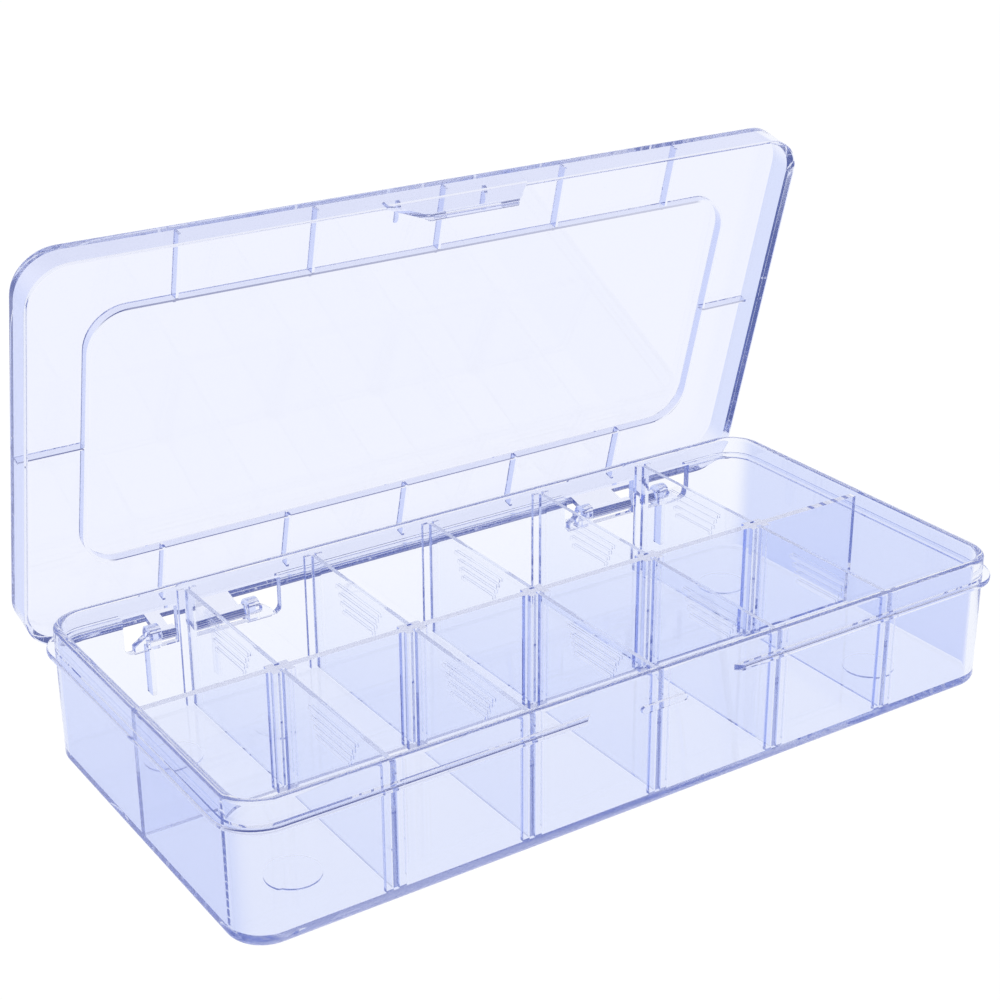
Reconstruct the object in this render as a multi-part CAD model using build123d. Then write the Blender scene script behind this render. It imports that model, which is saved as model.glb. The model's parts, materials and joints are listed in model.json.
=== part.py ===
from build123d import *
import math
import os

# Bead storage box: a clear tray of twelve compartments, ten lift-out dividers and a hinged lid.
#
# The origin is the middle of the underside of the tray's floor. X runs along the box, Y from the
# front to the hinges, Z up. Lengths are in millimetres. Each piece is drawn where it lies in the
# closed box, and the lid is then turned about its hinge pins to the angle it is shown at.

# Tray
TRAY_LENGTH = 212.7
TRAY_WIDTH = 101.8
TRAY_CORNER = 9.0
TRAY_HEIGHT = 35.1
WALL = 2.1
FLOOR = 2.4
BOTTOM_EDGE_RADIUS = 1.8
RIM_ROUNDING = 0.95

# Ledge that runs round the outside of the tray under the lid
LEDGE_OVERHANG = 1.9
LEDGE_TOP = 29.7
LEDGE_THICKNESS = 1.4
LEDGE_CORNER = 10.7
LEDGE_EDGE_RADIUS = 0.5
LATCH_GAP_HALF = 20.5
LATCH_GAP_TAPER = 3.0

# Feet under the floor
FOOT_RADIUS = 6.4
FOOT_HEIGHT = 0.4
FOOT_FROM_END = 21.95
FOOT_FROM_SIDE = 21.5

# Compartments: two rows of six
DIVIDER_PITCH = 35.0
DIVIDERS_PER_ROW = 5
MIDDLE_WALL = 2.0
MIDDLE_WALL_TOP = 33.7
MIDDLE_POST_WIDTH = 5.8
MIDDLE_POST_DEPTH = 1.3
SIDE_POST_WIDTH = 5.0
SIDE_POST_DEPTH = 1.0
SIDE_POST_TOP = 33.9

# Dividers
DIVIDER_THICKNESS = 1.2
DIVIDER_TOP = 33.7
SLOT_CLEARANCE = 0.15
DIVIDER_END_CLEARANCE = 0.25
DIVIDER_SEAT = 0.05
DIVIDER_CORNER = 0.6
GRIP_BAR_LENGTHS = (20.6, 18.0, 16.4, 14.4)
GRIP_BAR_HEIGHT = 1.0
GRIP_BAR_RELIEF = 0.25
GRIP_BAR_PITCH = 2.0
GRIP_BELOW_TOP = 3.2

# Lid
LID_CLEARANCE = 0.55
SKIRT = 1.35
LID_CORNER = 10.7
LID_ABOVE_LEDGE = 0.55
LID_PLATE = 2.0
LID_EDGE_RADIUS = 1.0
LEAD_IN_WIDTH = 1.0
LEAD_IN_DEPTH = 1.6
RIB_ABOVE_RIM = 0.2
RIB_HEIGHT = 2.4
RIB_WIDTH = 0.7
RIB_RING_FROM_END = 15.5
RIB_RING_FROM_SIDE = 16.05
RIB_RING_CORNER = 10.0
TAB_X = 12.3
TAB_THICKNESS = 0.9
TAB_RADIUS = 2.2
TAB_FROM_WALL = 0.1

# Hinges: a window in the back wall, two ears and a two-armed leaf at each side
HINGE_X = 65.3
PIN_FROM_WALL_FACE = 0.2
PIN_Z = 22.3
PIN_RADIUS = 1.25
PIN_CLEARANCE = 0.05
PIN_LENGTH = 2.4
BARREL_RADIUS = 1.75
LEAF_WIDTH = 23.2
LEAF_SIDE_GAP = 0.4
EAR_THICKNESS = 2.9
EAR_RADIUS = 2.9
EAR_BASE_Z = 18.9
WINDOW_LENGTH = 42.7
WINDOW_X = 65.65
WINDOW_FLOOR = 19.8
WINDOW_TOP = 29.8
WINDOW_CORNER = 2.0
POST_STRIP = 5.4
POST_STRIP_GAP = 0.5
GUSSET_REACH = 3.9
GUSSET_RISE = 5.1
GUSSET_SIDE_RISE = 2.2
GUSSET_THICKNESS = 2.1
GUSSET_PROUD = 0.5
EAR_RIB_THICKNESS = 1.1
EAR_RIB_DEPTH = 3.2
EAR_RIB_BOTTOM = 6.3

# Latch: a tongue on the lid's front and a bar on the tray
TONGUE_BASE = 39.3
TONGUE_TIP = 23.8
TONGUE_END_Z = 22.0
TONGUE_THICKNESS = 1.2
TONGUE_STEP = 0.8
TONGUE_ROOT_RISE = 2.6
TONGUE_TIP_BEAD = 0.9
CATCH_LENGTH = 13.0
CATCH_HEIGHT = 1.8
CATCH_DEPTH = 0.8
CATCH_MIDDLE_Z = 26.2
CATCH_CLEARANCE = 0.3
CATCH_RIB_LENGTH = 15.4
CATCH_RIB_MIDDLE_Z = 23.9
CATCH_RIB_HEIGHT = 1.2
CATCH_RIB_RELIEF = 0.5

# How far one part of a moulding grows into the next, how far a cut runs past what it cuts, and
# how near to a height an edge has to lie to count as being at it
ROOT_DEPTH = 0.5
CUT_PAST = 1.0
HEIGHT_MATCH = 0.01

# The angle that the lid is shown at, from closed
LID_OPEN_ANGLE = 75.6

# Sizes that follow from the ones above
half_length = TRAY_LENGTH / 2
half_width = TRAY_WIDTH / 2
inner_half_length = half_length - WALL
inner_half_width = half_width - WALL
foot_x = half_length - FOOT_FROM_END
foot_y = half_width - FOOT_FROM_SIDE
slot_width = DIVIDER_THICKNESS + 2 * SLOT_CLEARANCE
divider_positions = [
    DIVIDER_PITCH * (i - (DIVIDERS_PER_ROW - 1) / 2) for i in range(DIVIDERS_PER_ROW)
]
skirt_inner_half_length = half_length + LID_CLEARANCE
skirt_inner_half_width = half_width + LID_CLEARANCE
lid_half_length = skirt_inner_half_length + SKIRT
lid_half_width = skirt_inner_half_width + SKIRT
skirt_bottom = LEDGE_TOP + LID_ABOVE_LEDGE
rib_bottom = TRAY_HEIGHT + RIB_ABOVE_RIM
lid_inside = rib_bottom + RIB_HEIGHT
lid_outside = lid_inside + LID_PLATE
lead_in_angle = math.degrees(math.atan2(LEAD_IN_WIDTH, LEAD_IN_DEPTH))
leaf_root = skirt_bottom + LEAD_IN_DEPTH + ROOT_DEPTH
pin_y = half_width - PIN_FROM_WALL_FACE
pin_axis = Axis((0, pin_y, PIN_Z), (1, 0, 0))


def block(x_range, y_range, z_range):
    """A box between two coordinates along each axis."""
    lows = [min(r) for r in (x_range, y_range, z_range)]
    sizes = [max(r) - min(r) for r in (x_range, y_range, z_range)]
    return Pos(*lows) * Box(*sizes, align=(Align.MIN, Align.MIN, Align.MIN))


def slab(half_x, half_y, corner, bottom, top):
    """An upright prism with a rounded rectangle as its plan."""
    plan = RectangleRounded(2 * half_x, 2 * half_y, corner)
    return Pos(0, 0, bottom) * extrude(plan, top - bottom)


def rod(x_range, y, z, radius):
    """A round bar along X."""
    length = abs(x_range[1] - x_range[0])
    return Pos(min(x_range), y, z) * Rot(0, 90, 0) * Cylinder(
        radius, length, align=(Align.CENTER, Align.CENTER, Align.MIN)
    )


def edges_at(solid, height):
    """The edges that lie wholly at one height."""
    return solid.edges().filter_by_position(Axis.Z, height - HEIGHT_MATCH, height + HEIGHT_MATCH)


def shell():
    """The tray's floor and walls, with a rounded rim and a rounded bottom edge."""
    outside = slab(half_length, half_width, TRAY_CORNER, 0, TRAY_HEIGHT)
    outside = fillet(edges_at(outside, 0), BOTTOM_EDGE_RADIUS)
    inside = slab(inner_half_length, inner_half_width, TRAY_CORNER - WALL, FLOOR, TRAY_HEIGHT)
    body = outside - inside
    return fillet(edges_at(body, TRAY_HEIGHT), RIM_ROUNDING)


def ledge():
    """The narrow shelf round the walls, cut away behind the latch tongue and over the hinges."""
    bottom = LEDGE_TOP - LEDGE_THICKNESS
    ring = slab(
        half_length + LEDGE_OVERHANG, half_width + LEDGE_OVERHANG, LEDGE_CORNER, bottom, LEDGE_TOP
    )
    ring = fillet(edges_at(ring, bottom) + edges_at(ring, LEDGE_TOP), LEDGE_EDGE_RADIUS)
    ring -= slab(
        half_length - ROOT_DEPTH, half_width - ROOT_DEPTH, TRAY_CORNER - ROOT_DEPTH, bottom, LEDGE_TOP
    )
    wide = LATCH_GAP_HALF + LATCH_GAP_TAPER
    near = -half_width
    far = near - LEDGE_OVERHANG - CUT_PAST
    gap = Polyline((-LATCH_GAP_HALF, near), (LATCH_GAP_HALF, near), (wide, far), (-wide, far), close=True)
    ring -= Pos(0, 0, bottom) * extrude(make_face(gap), LEDGE_THICKNESS)
    for side in (-1, 1):
        middle = side * WINDOW_X
        ring -= block(
            (middle - WINDOW_LENGTH / 2, middle + WINDOW_LENGTH / 2),
            (half_width, half_width + LEDGE_OVERHANG + CUT_PAST),
            (bottom, LEDGE_TOP),
        )
    return ring


def post(x, wall_face, toward, width, depth, top):
    """A pair of upright ribs on a wall, with the slot between them that holds a divider's edge."""
    rib = (width - slot_width) / 2
    root = wall_face - toward * ROOT_DEPTH
    pair = None
    for start in (x - width / 2, x + slot_width / 2):
        one = block((start, start + rib), (root, wall_face + toward * depth), (FLOOR - ROOT_DEPTH, top))
        pair = one if pair is None else pair + one
    return pair


def posts():
    """Every slotted post: on both faces of the middle wall, and on the front and back walls."""
    everything = []
    for x in divider_positions:
        for side in (-1, 1):
            everything.append(
                post(x, side * MIDDLE_WALL / 2, side, MIDDLE_POST_WIDTH, MIDDLE_POST_DEPTH, MIDDLE_WALL_TOP)
            )
            everything.append(
                post(x, side * inner_half_width, -side, SIDE_POST_WIDTH, SIDE_POST_DEPTH, SIDE_POST_TOP)
            )
    return everything


def hinge_window(side):
    """The opening in the back wall, less the strip of wall that carries the divider's post."""
    middle = side * WINDOW_X
    y_range = (inner_half_width - SIDE_POST_DEPTH - CUT_PAST, half_width + CUT_PAST)
    hole = block(
        (middle - WINDOW_LENGTH / 2, middle + WINDOW_LENGTH / 2), y_range, (WINDOW_FLOOR, WINDOW_TOP)
    )
    lower = hole.edges().filter_by(Axis.Y).group_by(Axis.Z)[0]
    hole = fillet(lower, WINDOW_CORNER)
    strip_middle = side * 2 * DIVIDER_PITCH
    return hole - block(
        (strip_middle - POST_STRIP / 2, strip_middle + POST_STRIP / 2),
        y_range,
        (WINDOW_FLOOR - CUT_PAST, WINDOW_TOP + CUT_PAST),
    )


def ear(side, outward):
    """One hinge ear: a bored tab with a gusset beside it, its flat face toward the leaf."""
    face = side * HINGE_X + side * outward * (LEAF_WIDTH / 2 + LEAF_SIDE_GAP)
    away = side * outward
    back = face + away * EAR_THICKNESS
    tab = rod((face, back), pin_y, PIN_Z, EAR_RADIUS)
    tab += block((face, back), (pin_y - EAR_RADIUS, pin_y + EAR_RADIUS), (EAR_BASE_Z, PIN_Z))
    outline = Polyline(
        (back - away * ROOT_DEPTH, EAR_BASE_Z),
        (back + away * GUSSET_REACH, EAR_BASE_Z),
        (back + away * GUSSET_REACH, EAR_BASE_Z + GUSSET_SIDE_RISE),
        (back - away * ROOT_DEPTH, EAR_BASE_Z + GUSSET_RISE),
        close=True,
    )
    gusset = extrude(Plane.XZ * make_face(outline), GUSSET_THICKNESS)
    y_start = gusset.bounding_box().min.Y
    tab += Pos(0, half_width + GUSSET_PROUD - GUSSET_THICKNESS - y_start, 0) * gusset
    inside = (face - away * CUT_PAST, back + away * (GUSSET_REACH + CUT_PAST))
    tab -= block(inside, (0, inner_half_width), (0, TRAY_HEIGHT))
    if outward > 0:
        tab += block(
            (back - away * EAR_RIB_THICKNESS, back),
            (half_width - ROOT_DEPTH, half_width + EAR_RIB_DEPTH),
            (EAR_RIB_BOTTOM, EAR_BASE_Z + ROOT_DEPTH),
        )
    bore = (face - away * CUT_PAST, back + away * CUT_PAST)
    return tab - rod(bore, pin_y, PIN_Z, PIN_RADIUS + PIN_CLEARANCE)


def catch_bar():
    """The round-ended bar on the front wall that the latch tongue snaps over."""
    outline = Plane.XZ * SlotOverall(CATCH_LENGTH, CATCH_HEIGHT)
    bar = extrude(outline, CATCH_DEPTH + ROOT_DEPTH)
    y_start = bar.bounding_box().min.Y
    return Pos(0, -half_width - CATCH_DEPTH - y_start, CATCH_MIDDLE_Z) * bar


def make_tray():
    """The tray as one moulding."""
    tray = shell() + ledge()
    tray += block(
        (-inner_half_length - ROOT_DEPTH, inner_half_length + ROOT_DEPTH),
        (-MIDDLE_WALL / 2, MIDDLE_WALL / 2),
        (FLOOR - ROOT_DEPTH, MIDDLE_WALL_TOP),
    )
    for piece in posts():
        tray += piece
    for side in (-1, 1):
        tray -= hinge_window(side)
        for outward in (-1, 1):
            tray += ear(side, outward)
    tray += catch_bar()
    for x in (-foot_x, foot_x):
        for y in (-foot_y, foot_y):
            tray += Pos(x, y, -FOOT_HEIGHT) * Cylinder(
                FOOT_RADIUS, FOOT_HEIGHT + ROOT_DEPTH, align=(Align.CENTER, Align.CENTER, Align.MIN)
            )
    return tray


def make_divider(x, side):
    """A thin plate that drops into two slots, with a stack of grip bars on each face."""
    near = MIDDLE_WALL / 2 + DIVIDER_END_CLEARANCE
    far = inner_half_width - DIVIDER_END_CLEARANCE
    bottom = FLOOR + DIVIDER_SEAT
    half = DIVIDER_THICKNESS / 2
    plate = block((x - half, x + half), (side * near, side * far), (bottom, DIVIDER_TOP))
    plate = fillet(plate.edges().filter_by(Axis.X), DIVIDER_CORNER)
    for row, length in enumerate(GRIP_BAR_LENGTHS):
        z = DIVIDER_TOP - GRIP_BELOW_TOP - row * GRIP_BAR_PITCH
        middle = side * (near + far) / 2
        plate += block(
            (x - half - GRIP_BAR_RELIEF, x + half + GRIP_BAR_RELIEF),
            (middle - length / 2, middle + length / 2),
            (z - GRIP_BAR_HEIGHT / 2, z + GRIP_BAR_HEIGHT / 2),
        )
    return plate


def lid_shell():
    """The lid's flat plate and skirt, with a slope inside the skirt's free edge."""
    outside = slab(lid_half_length, lid_half_width, LID_CORNER, skirt_bottom, lid_outside)
    outside = fillet(edges_at(outside, lid_outside), LID_EDGE_RADIUS)
    corner = LID_CORNER - SKIRT
    inside = slab(skirt_inner_half_length, skirt_inner_half_width, corner, skirt_bottom, lid_inside)
    mouth = RectangleRounded(
        2 * (skirt_inner_half_length + LEAD_IN_WIDTH),
        2 * (skirt_inner_half_width + LEAD_IN_WIDTH),
        corner + LEAD_IN_WIDTH,
    )
    slope = Pos(0, 0, skirt_bottom) * extrude(mouth, LEAD_IN_DEPTH, taper=lead_in_angle)
    return outside - inside - slope


def lid_ribs():
    """Ribs under the lid: a rounded ring, and from it one rib out to the skirt at each wall."""
    top = lid_inside + ROOT_DEPTH
    half_rib = RIB_WIDTH / 2
    half_x = skirt_inner_half_length - RIB_RING_FROM_END
    half_y = skirt_inner_half_width - RIB_RING_FROM_SIDE
    ring = slab(half_x + half_rib, half_y + half_rib, RIB_RING_CORNER + half_rib, rib_bottom, top)
    ring -= slab(half_x - half_rib, half_y - half_rib, RIB_RING_CORNER - half_rib, rib_bottom, top)
    reach_x = skirt_inner_half_length + ROOT_DEPTH
    reach_y = skirt_inner_half_width + ROOT_DEPTH
    ribs = [ring]
    for side in (-1, 1):
        for x in divider_positions:
            x_range = (x - half_rib, x + half_rib)
            ribs.append(block(x_range, (side * half_y, side * reach_y), (rib_bottom, top)))
        y_range = (-half_rib, half_rib)
        ribs.append(block((side * half_x, side * reach_x), y_range, (rib_bottom, top)))
    return ribs


def half_round_tabs():
    """Two half-round tabs under the lid's front border, beside the latch."""
    tabs = []
    y = -inner_half_width + TAB_FROM_WALL + TAB_RADIUS
    y_range = (y - TAB_RADIUS, y + TAB_RADIUS)
    for side in (-1, 1):
        x_range = (side * TAB_X - TAB_THICKNESS / 2, side * TAB_X + TAB_THICKNESS / 2)
        disc = rod(x_range, y, lid_inside, TAB_RADIUS)
        upper = (lid_inside + ROOT_DEPTH, lid_inside + TAB_RADIUS)
        tabs.append(disc - block(x_range, y_range, upper))
    return tabs


def hinge_leaf(side):
    """The leaf below the lid's back skirt: two arms beside the post strip, each ending in a bar."""
    strip_middle = side * 2 * DIVIDER_PITCH
    notch = POST_STRIP / 2 + POST_STRIP_GAP
    ends = [side * HINGE_X - LEAF_WIDTH / 2, side * HINGE_X + LEAF_WIDTH / 2]
    arms = [(ends[0], strip_middle - notch), (strip_middle + notch, ends[1])]
    y_range = (skirt_inner_half_width, lid_half_width)
    leaf = block(ends, y_range, (WINDOW_TOP + LID_ABOVE_LEDGE, leaf_root))
    for arm in arms:
        leaf += block(arm, y_range, (PIN_Z, leaf_root))
        leaf += rod(arm, pin_y, PIN_Z, BARREL_RADIUS)
    leaf += rod((ends[0] - PIN_LENGTH, ends[0] + ROOT_DEPTH), pin_y, PIN_Z, PIN_RADIUS)
    leaf += rod((ends[1] - ROOT_DEPTH, ends[1] + PIN_LENGTH), pin_y, PIN_Z, PIN_RADIUS)
    return leaf


def latch_tongue():
    """The tapered tongue on the lid's front skirt, stepped out to pass over the catch bar."""
    inner = -half_width - CATCH_DEPTH - CATCH_CLEARANCE
    face = inner - CATCH_RIB_RELIEF
    outer = face - TONGUE_THICKNESS
    profile = Polyline(
        (-lid_half_width + ROOT_DEPTH, skirt_bottom + TONGUE_ROOT_RISE),
        (-lid_half_width, skirt_bottom + TONGUE_ROOT_RISE),
        (outer, skirt_bottom + TONGUE_ROOT_RISE - TONGUE_STEP),
        (outer, TONGUE_END_Z),
        (face, TONGUE_END_Z),
        (face, skirt_bottom),
        (-lid_half_width + ROOT_DEPTH, skirt_bottom),
        close=True,
    )
    body = extrude(Plane.YZ * make_face(profile), TONGUE_BASE / 2, both=True)
    body += rod(
        (-TONGUE_BASE / 2, TONGUE_BASE / 2),
        (face + outer) / 2,
        TONGUE_END_Z + TONGUE_TIP_BEAD,
        TONGUE_TIP_BEAD,
    )
    outline = Polyline(
        (-TONGUE_TIP / 2, TONGUE_END_Z),
        (TONGUE_TIP / 2, TONGUE_END_Z),
        (TONGUE_BASE / 2, skirt_bottom),
        (TONGUE_BASE / 2, skirt_bottom + TONGUE_ROOT_RISE),
        (-TONGUE_BASE / 2, skirt_bottom + TONGUE_ROOT_RISE),
        (-TONGUE_BASE / 2, skirt_bottom),
        close=True,
    )
    cutter = extrude(Plane.XZ * make_face(outline), 2 * half_width)
    body = body & cutter
    body += block(
        (-CATCH_RIB_LENGTH / 2, CATCH_RIB_LENGTH / 2),
        (inner, face - TONGUE_THICKNESS / 2),
        (CATCH_RIB_MIDDLE_Z - CATCH_RIB_HEIGHT / 2, CATCH_RIB_MIDDLE_Z + CATCH_RIB_HEIGHT / 2),
    )
    return body


def make_lid():
    """The lid as one moulding, closed."""
    lid = lid_shell()
    for piece in lid_ribs() + half_round_tabs():
        lid += piece
    for side in (-1, 1):
        lid += hinge_leaf(side)
    return lid + latch_tongue()


def main():
    """Write one STEP file for each piece."""
    os.makedirs("parts", exist_ok=True)
    export_step(make_tray(), "parts/tray.step")
    export_step(make_lid().rotate(pin_axis, -LID_OPEN_ANGLE), "parts/lid.step")
    for row, side in (("front", -1), ("back", 1)):
        for number, x in enumerate(divider_positions, start=1):
            export_step(make_divider(x, side), f"parts/divider_{row}_{number}.step")


main()
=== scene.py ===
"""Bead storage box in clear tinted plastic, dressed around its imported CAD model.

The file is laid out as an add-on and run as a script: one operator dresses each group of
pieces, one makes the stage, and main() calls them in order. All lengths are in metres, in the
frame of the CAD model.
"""

import json
import math

import bmesh
import bpy
import numpy as np
from bpy.props import FloatProperty, FloatVectorProperty, PointerProperty
from mathutils import Matrix, Vector

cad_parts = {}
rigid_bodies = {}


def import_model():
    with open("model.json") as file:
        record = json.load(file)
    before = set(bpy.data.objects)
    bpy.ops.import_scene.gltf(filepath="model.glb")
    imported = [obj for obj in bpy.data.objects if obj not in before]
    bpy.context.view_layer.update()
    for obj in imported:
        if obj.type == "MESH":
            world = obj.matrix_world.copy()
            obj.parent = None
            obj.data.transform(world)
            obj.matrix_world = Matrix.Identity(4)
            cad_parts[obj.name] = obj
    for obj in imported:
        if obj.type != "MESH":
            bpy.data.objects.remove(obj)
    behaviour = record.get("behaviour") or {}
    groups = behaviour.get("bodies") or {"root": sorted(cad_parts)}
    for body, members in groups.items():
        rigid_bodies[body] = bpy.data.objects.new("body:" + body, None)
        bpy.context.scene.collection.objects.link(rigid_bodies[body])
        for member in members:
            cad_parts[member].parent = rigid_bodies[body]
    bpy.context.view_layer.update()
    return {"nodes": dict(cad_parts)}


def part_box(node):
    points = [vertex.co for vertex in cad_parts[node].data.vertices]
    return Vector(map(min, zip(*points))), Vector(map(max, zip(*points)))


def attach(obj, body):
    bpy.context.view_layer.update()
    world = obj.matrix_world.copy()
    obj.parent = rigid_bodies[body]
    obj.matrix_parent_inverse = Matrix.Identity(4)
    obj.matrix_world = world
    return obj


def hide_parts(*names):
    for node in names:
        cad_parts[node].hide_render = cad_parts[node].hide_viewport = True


for leftover in list(bpy.data.objects):
    bpy.data.objects.remove(leftover)
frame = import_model()

# Corners nearer than this are one corner, and faces that meet more steeply keep a sharp edge
WELD = 0.000001
CREASE = math.radians(25.0)
FACE_AREA_WEIGHT = 100

# The two noises of the moulded surface, in waves per metre, and the mean of a noise
RIPPLES = {"Scale": 45.0, "Detail": 1.0, "Roughness": 0.4}
FLOW_MARKS = {"Scale": 220.0, "Detail": 4.0, "Roughness": 0.6}
NOISE_MEAN = 0.5

# The floor: how far it reaches, its corners, its gap under the feet and its own grey
FLOOR_REACH = 30.0
FLOOR_CORNERS = 96
FLOOR_GAP = 0.0001
FLOOR_GREY = 0.9

# Where the studio's shade starts and is full. The first runs from away from the camera's side to
# that side, the other two are heights, with 1 straight up
CAMERA_SIDE_SHADE = (-0.35, 0.3)
OVERHEAD_SHADE = (0.4, 0.85)
WHITE_BAND_END = (0.2, 0.4)
WHITE = (1.0, 1.0, 1.0, 1.0)
BLACK = (0.0, 0.0, 0.0, 1.0)

SENSOR_WIDTH = 36.0
CLIP_RANGE = (0.01, 100.0)

# Light that is caught in a clear wall turns many times before it leaves
BOUNCES = 64

bl_info = {
    "name": "Bead Storage Box",
    "version": (1, 0, 0),
    "blender": (4, 5, 0),
    "location": "View3D > Sidebar > Bead Box",
    "description": "Dresses a hinged compartment box in clear tinted plastic and lights it",
    "category": "Object",
}


class ClearPlasticSettings(bpy.types.PropertyGroup):
    """What the clear plastic looks like."""

    tray_tint: FloatVectorProperty(
        name="Tray tint",
        description="Colour of white light that has passed through one wall of the tray",
        subtype="COLOR",
        size=3,
        min=0.0,
        max=1.0,
        default=(0.93, 0.945, 1.0),
    )
    lid_tint: FloatVectorProperty(
        name="Lid tint",
        description="The same for the lid's plate",
        subtype="COLOR",
        size=3,
        min=0.0,
        max=1.0,
        default=(0.875, 0.895, 0.995),
    )
    divider_tint: FloatVectorProperty(
        name="Divider tint",
        description="The same for a divider",
        subtype="COLOR",
        size=3,
        min=0.0,
        max=1.0,
        default=(0.94, 0.955, 1.0),
    )
    # Painted shade: the walls at the two ends are the same plastic as the rest, drawn in this
    # darker tint
    painted_end_shade: FloatVectorProperty(
        name="End tint",
        description="The same for the walls at the two ends of the box",
        subtype="COLOR",
        size=3,
        min=0.0,
        max=1.0,
        default=(0.69, 0.745, 0.965),
    )
    # The tint is multiplied by this more and more toward the foot of every wall, by height alone
    foot_tint: FloatVectorProperty(
        name="Foot tint",
        description="What the tint is multiplied by at the foot of a wall, where it is thickest",
        subtype="COLOR",
        size=3,
        min=0.0,
        max=1.0,
        default=(0.95, 0.963, 1.0),
    )
    # Colour of a painted glow that long paths in the plastic give off
    body: FloatVectorProperty(
        name="Body colour",
        description="Colour that very thick plastic takes on",
        subtype="COLOR",
        size=3,
        min=0.0,
        max=1.0,
        default=(0.17, 0.22, 0.58),
    )
    # Sets both the real absorption of the plastic and the strength of its painted glow
    tray_haze_and_glow: FloatProperty(
        name="Tray haze",
        description="How fast the body colour builds up in tray and dividers, per metre",
        default=9.0,
        min=0.0,
    )
    lid_haze_and_glow: FloatProperty(
        name="Lid haze",
        description="The same in the lid, whose edges stay paler",
        default=5.0,
        min=0.0,
    )
    shine: FloatProperty(
        name="Shine",
        description="Share of the mirror reflection that a polished face keeps head on",
        subtype="FACTOR",
        default=0.35,
        min=0.0,
        max=1.0,
    )
    ior: FloatProperty(
        name="Refractive index",
        description="Bending of light at the surface",
        default=1.49,
        min=1.0,
        max=2.0,
    )
    polish: FloatProperty(
        name="Polish",
        description="Roughness of the moulded surface",
        subtype="FACTOR",
        default=0.02,
        min=0.0,
        max=1.0,
    )
    ripple: FloatProperty(
        name="Ripple",
        description="Height of the slow waves that moulding leaves",
        subtype="DISTANCE",
        default=0.00001,
        min=0.0,
    )


class StageSettings(bpy.types.PropertyGroup):
    """Floor, light and camera."""

    camera_place: FloatVectorProperty(
        name="Camera place",
        description="Where the camera stands",
        subtype="TRANSLATION",
        size=3,
        default=(-0.24764, -0.35712, 0.24648),
    )
    camera_azimuth: FloatProperty(
        name="Camera azimuth",
        description="Turn of the camera about Z, from straight in front",
        subtype="ANGLE",
        default=math.radians(-33.62),
    )
    camera_elevation: FloatProperty(
        name="Camera elevation",
        description="Angle of the camera above the horizon",
        subtype="ANGLE",
        default=math.radians(23.49),
    )
    camera_roll: FloatProperty(
        name="Camera roll",
        description="Turn of the camera about its own line of sight",
        subtype="ANGLE",
        default=math.radians(-0.216),
    )
    lens: FloatProperty(
        name="Lens",
        description="Focal length on a 36 mm sensor, in millimetres",
        default=71.507,
        min=1.0,
    )
    sky: FloatProperty(
        name="Sky light",
        description="Brightness of the white part of the studio",
        default=1.03,
        min=0.0,
    )
    shade: FloatVectorProperty(
        name="Shaded side",
        description="Colour of the studio overhead and high up on the camera's side",
        subtype="COLOR",
        size=3,
        min=0.0,
        max=1.0,
        default=(0.10, 0.12, 0.32),
    )
    floor_glow: FloatProperty(
        name="Floor glow",
        description="Share of the floor's brightness that is its own light",
        subtype="FACTOR",
        default=0.985,
        min=0.0,
        max=1.0,
    )


class Wire:
    """A shader socket that adds Math nodes when it is used in an expression."""

    def __init__(self, graph, socket):
        self.graph = graph
        self.socket = socket

    def _math(self, operation, first, second):
        return self.graph.add("ShaderNodeMath", {"operation": operation}, {0: first, 1: second})

    def __sub__(self, other):
        return self._math("SUBTRACT", self, other)

    def __rsub__(self, other):
        return self._math("SUBTRACT", other, self)

    def __mul__(self, other):
        return self._math("MULTIPLY", self, other)

    def __rmul__(self, other):
        return self._math("MULTIPLY", other, self)


class Graph:
    """The node tree of a material or of the world, with one method that makes any node."""

    def __init__(self, owner):
        owner.use_nodes = True
        self.tree = owner.node_tree
        self.tree.nodes.clear()

    def add(self, kind, settings=None, values=None, output=0):
        """Make a node, set its settings, then its sockets' values or links; return one output."""
        node = self.tree.nodes.new(kind)
        for name, value in (settings or {}).items():
            setattr(node, name, value)
        for name, value in (values or {}).items():
            socket = self.pick(node.inputs, name)
            if isinstance(value, Wire):
                self.tree.links.new(value.socket, socket)
            else:
                socket.default_value = value
        if not node.outputs:
            return None
        return Wire(self, self.pick(node.outputs, output))

    def pick(self, sockets, name):
        """The socket of that number, or the enabled one of that name."""
        if isinstance(name, int):
            return sockets[name]
        return next(socket for socket in sockets if socket.name == name and socket.enabled)


def mix_colours(graph, factor, first, second, blend="MIX"):
    """The first colour where the factor is 0, blended with the second where it is 1."""
    return graph.add(
        "ShaderNodeMix",
        {"data_type": "RGBA", "blend_type": blend},
        {"Factor": factor, "A": first, "B": second},
        "Result",
    )


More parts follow.
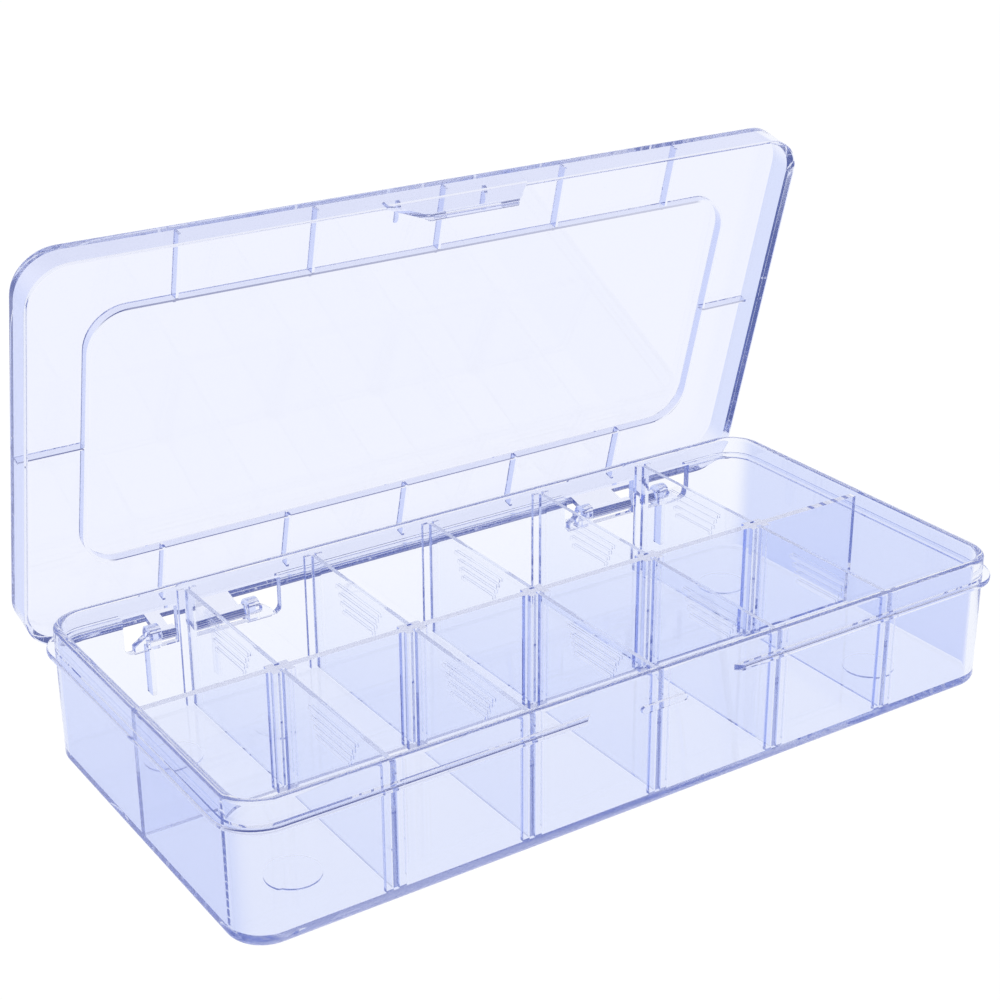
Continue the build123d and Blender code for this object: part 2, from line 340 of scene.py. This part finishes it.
def clear_plastic(name, settings, tint, painted_end_shade, haze_and_glow):
    """Clear moulded plastic: a tint for most faces, a darker painted shade for those square to X.

    Both deepen toward the foot. Long paths in the plastic absorb light and glow in the body
    colour, which is painted light. It is polished, with slow waves and faint flow marks.
    """
    material = bpy.data.materials.new(name)
    graph = Graph(material)
    place = graph.add("ShaderNodeTexCoord", output="Object")
    facing = graph.add("ShaderNodeTexCoord", output="Normal")
    # Painted shade: faces square to X, the ends of the box, are mixed toward the darker end tint
    along = graph.add("ShaderNodeSeparateXYZ", {}, {"Vector": facing}, "X")
    squared = along * along
    steep = squared * squared
    tint_with_painted_end_shade = mix_colours(graph, steep * steep, (*tint, 1.0), (*painted_end_shade, 1.0))
    height = graph.add("ShaderNodeSeparateXYZ", {}, {"Vector": place}, "Z")
    low = graph.add(
        "ShaderNodeMapRange",
        {},
        {"Value": height, "From Max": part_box("tray")[1].z, "To Min": 1.0, "To Max": 0.0},
    )
    colour = mix_colours(graph, low, tint_with_painted_end_shade, (*settings.foot_tint, 1.0), "MULTIPLY")
    waves = graph.add("ShaderNodeTexNoise", {}, {"Vector": place, **RIPPLES})
    smears = graph.add("ShaderNodeTexNoise", {}, {"Vector": place, **FLOW_MARKS})
    bump = graph.add(
        "ShaderNodeBump", {}, {"Height": waves, "Strength": 1.0, "Distance": settings.ripple}
    )
    surface = graph.add(
        "ShaderNodeBsdfPrincipled",
        {},
        {
            "Base Color": colour,
            "Roughness": smears * (settings.polish / NOISE_MEAN),
            "IOR": settings.ior,
            "Specular Tint": (settings.shine, settings.shine, settings.shine, 1.0),
            "Transmission Weight": 1.0,
            "Normal": bump,
        },
    )
    # Real absorption, plus an emission that makes long paths glow in the body colour: painted
    # light
    loss = graph.add("ShaderNodeVolumeAbsorption", {}, {"Color": BLACK, "Density": haze_and_glow})
    painted_glow = graph.add("ShaderNodeEmission", {}, {"Color": (*settings.body, 1.0), "Strength": haze_and_glow})
    absorption_and_painted_glow = graph.add("ShaderNodeAddShader", {}, {0: loss, 1: painted_glow})
    graph.add("ShaderNodeOutputMaterial", {}, {"Surface": surface, "Volume": absorption_and_painted_glow})
    return material


def polished_copy(node, body, material):
    """A merged copy of a CAD node, smooth wherever its faces turn gently, in its place."""
    source = frame["nodes"][node]
    work = bmesh.new()
    work.from_mesh(source.data)
    bmesh.ops.remove_doubles(work, verts=work.verts, dist=WELD)
    mesh = bpy.data.meshes.new(node + "_polished")
    work.to_mesh(mesh)
    work.free()
    if "custom_normal" in mesh.attributes:
        mesh.attributes.remove(mesh.attributes["custom_normal"])
    mesh.shade_smooth()
    mesh.set_sharp_from_angle(angle=CREASE)
    mesh.materials.append(material)
    piece = bpy.data.objects.new(node + "_polished", mesh)
    bpy.context.scene.collection.objects.link(piece)
    even = piece.modifiers.new("even_normals", "WEIGHTED_NORMAL")
    even.keep_sharp = True
    even.weight = FACE_AREA_WEIGHT
    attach(piece, body)
    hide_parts(node)
    return piece


class BEADBOX_OT_tray(bpy.types.Operator):
    """Finish the tray"""

    bl_idname = "beadbox.tray"
    bl_label = "Tray"

    def execute(self, context):
        settings = context.scene.beadbox_plastic
        material = clear_plastic(
            "tray_plastic", settings, settings.tray_tint, settings.painted_end_shade, settings.tray_haze_and_glow
        )
        polished_copy("tray", "tray", material)
        return {"FINISHED"}


class BEADBOX_OT_lid(bpy.types.Operator):
    """Finish the lid"""

    bl_idname = "beadbox.lid"
    bl_label = "Lid"

    def execute(self, context):
        settings = context.scene.beadbox_plastic
        material = clear_plastic(
            "lid_plastic", settings, settings.lid_tint, settings.painted_end_shade, settings.lid_haze_and_glow
        )
        polished_copy("lid", "lid", material)
        return {"FINISHED"}


class BEADBOX_OT_dividers(bpy.types.Operator):
    """Finish the dividers"""

    bl_idname = "beadbox.dividers"
    bl_label = "Dividers"

    def execute(self, context):
        settings = context.scene.beadbox_plastic
        tint = settings.divider_tint
        material = clear_plastic("divider_plastic", settings, tint, tint, settings.tray_haze_and_glow)
        for node in sorted(frame["nodes"]):
            if node.startswith("divider"):
                polished_copy(node, node, material)
        return {"FINISHED"}


def make_floor(settings):
    """A pale light table: a flat disc whose corners are the cosine and sine of equal turns."""
    around = np.linspace(0.0, 2.0 * np.pi, FLOOR_CORNERS, endpoint=False)
    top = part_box("tray")[0].z - FLOOR_GAP
    points = np.column_stack(
        (FLOOR_REACH * np.cos(around), FLOOR_REACH * np.sin(around), np.full_like(around, top))
    )
    mesh = bpy.data.meshes.new("floor")
    mesh.from_pydata(points.tolist(), [], [list(range(len(points)))])
    floor = bpy.data.objects.new("floor", mesh)
    bpy.context.scene.collection.objects.link(floor)
    material = bpy.data.materials.new("floor_white")
    graph = Graph(material)
    grey = (FLOOR_GREY, FLOOR_GREY, FLOOR_GREY, 1.0)
    matt = graph.add("ShaderNodeBsdfDiffuse", {}, {"Color": grey})
    glow = graph.add("ShaderNodeEmission", {}, {"Color": WHITE, "Strength": settings.sky})
    both = graph.add("ShaderNodeMixShader", {}, {0: settings.floor_glow, 1: matt, 2: glow})
    graph.add("ShaderNodeOutputMaterial", {}, {"Surface": both})
    mesh.materials.append(material)


def rise(graph, value, ends):
    """0 up to the first end, 1 from the second, and a smooth climb between them."""
    return graph.add(
        "ShaderNodeMapRange",
        {"interpolation_type": "SMOOTHSTEP"},
        {"Value": value, "From Min": ends[0], "From Max": ends[1]},
    )


def make_sky(settings):
    """A white studio, shaded overhead and high up on the camera's side.

    The shade gives the edges of the clear plastic their dark lines. A band above the horizon
    stays white all round.
    """
    world = bpy.data.worlds.new("studio")
    bpy.context.scene.world = world
    graph = Graph(world)
    toward = graph.add("ShaderNodeTexCoord", output="Generated")
    place = Vector(settings.camera_place).normalized()
    camera_side = graph.add(
        "ShaderNodeVectorMath",
        {"operation": "DOT_PRODUCT"},
        {0: toward, 1: (place.x, place.y, 0.0)},
        "Value",
    )
    height = graph.add("ShaderNodeSeparateXYZ", {}, {"Vector": toward}, "Z")
    far_side = 1.0 - rise(graph, camera_side, CAMERA_SIDE_SHADE)
    not_overhead = 1.0 - rise(graph, height, OVERHEAD_SHADE)
    shaded = (1.0 - far_side * not_overhead) * rise(graph, height, WHITE_BAND_END)
    colour = mix_colours(graph, shaded, WHITE, (*settings.shade, 1.0))
    light = graph.add("ShaderNodeBackground", {}, {"Color": colour, "Strength": settings.sky})
    graph.add("ShaderNodeOutputWorld", {}, {"Surface": light})


def make_camera(settings):
    """A camera turned by azimuth, elevation and roll, at its place."""
    data = bpy.data.cameras.new("camera")
    data.lens = settings.lens
    data.sensor_width = SENSOR_WIDTH
    camera = bpy.data.objects.new("camera", data)
    bpy.context.scene.collection.objects.link(camera)
    azimuth = settings.camera_azimuth
    elevation = settings.camera_elevation
    back = Vector(
        (
            math.sin(azimuth) * math.cos(elevation),
            -math.cos(azimuth) * math.cos(elevation),
            math.sin(elevation),
        )
    )
    level = Vector((0.0, 0.0, 1.0)).cross(back).normalized()
    raised = back.cross(level)
    roll = settings.camera_roll
    right = level * math.cos(roll) + raised * math.sin(roll)
    up = back.cross(right)
    turn = Matrix((right, up, back)).transposed().to_4x4()
    camera.matrix_world = Matrix.Translation(settings.camera_place) @ turn
    data.clip_start, data.clip_end = CLIP_RANGE
    bpy.context.scene.camera = camera


class BEADBOX_OT_stage(bpy.types.Operator):
    """Make the floor, the light and the camera"""

    bl_idname = "beadbox.stage"
    bl_label = "Stage"

    def execute(self, context):
        settings = context.scene.beadbox_stage
        make_floor(settings)
        make_sky(settings)
        make_camera(settings)
        context.scene.view_settings.view_transform = "Standard"
        context.scene.cycles.max_bounces = BOUNCES
        context.scene.cycles.transmission_bounces = BOUNCES
        context.scene.cycles.glossy_bounces = BOUNCES
        return {"FINISHED"}


STEPS = (BEADBOX_OT_tray, BEADBOX_OT_lid, BEADBOX_OT_dividers, BEADBOX_OT_stage)


class BEADBOX_PT_steps(bpy.types.Panel):
    """Lists the box's pieces and the stage"""

    bl_label = "Bead Box"
    bl_idname = "BEADBOX_PT_steps"
    bl_space_type = "VIEW_3D"
    bl_region_type = "UI"
    bl_category = "Bead Box"

    def draw(self, context):
        for step in STEPS:
            self.layout.operator(step.bl_idname)
        for settings in (context.scene.beadbox_plastic, context.scene.beadbox_stage):
            for name in settings.__annotations__:
                self.layout.prop(settings, name)


CLASSES = (ClearPlasticSettings, StageSettings, *STEPS, BEADBOX_PT_steps)


def register():
    """Add the classes and the scene's settings."""
    for cls in CLASSES:
        bpy.utils.register_class(cls)
    bpy.types.Scene.beadbox_plastic = PointerProperty(type=ClearPlasticSettings)
    bpy.types.Scene.beadbox_stage = PointerProperty(type=StageSettings)


def unregister():
    """Take them away again."""
    del bpy.types.Scene.beadbox_stage
    del bpy.types.Scene.beadbox_plastic
    for cls in reversed(CLASSES):
        bpy.utils.unregister_class(cls)


def main():
    register()
    bpy.ops.beadbox.tray()
    bpy.ops.beadbox.lid()
    bpy.ops.beadbox.dividers()
    bpy.ops.beadbox.stage()


if __name__ == "__main__":
    main()
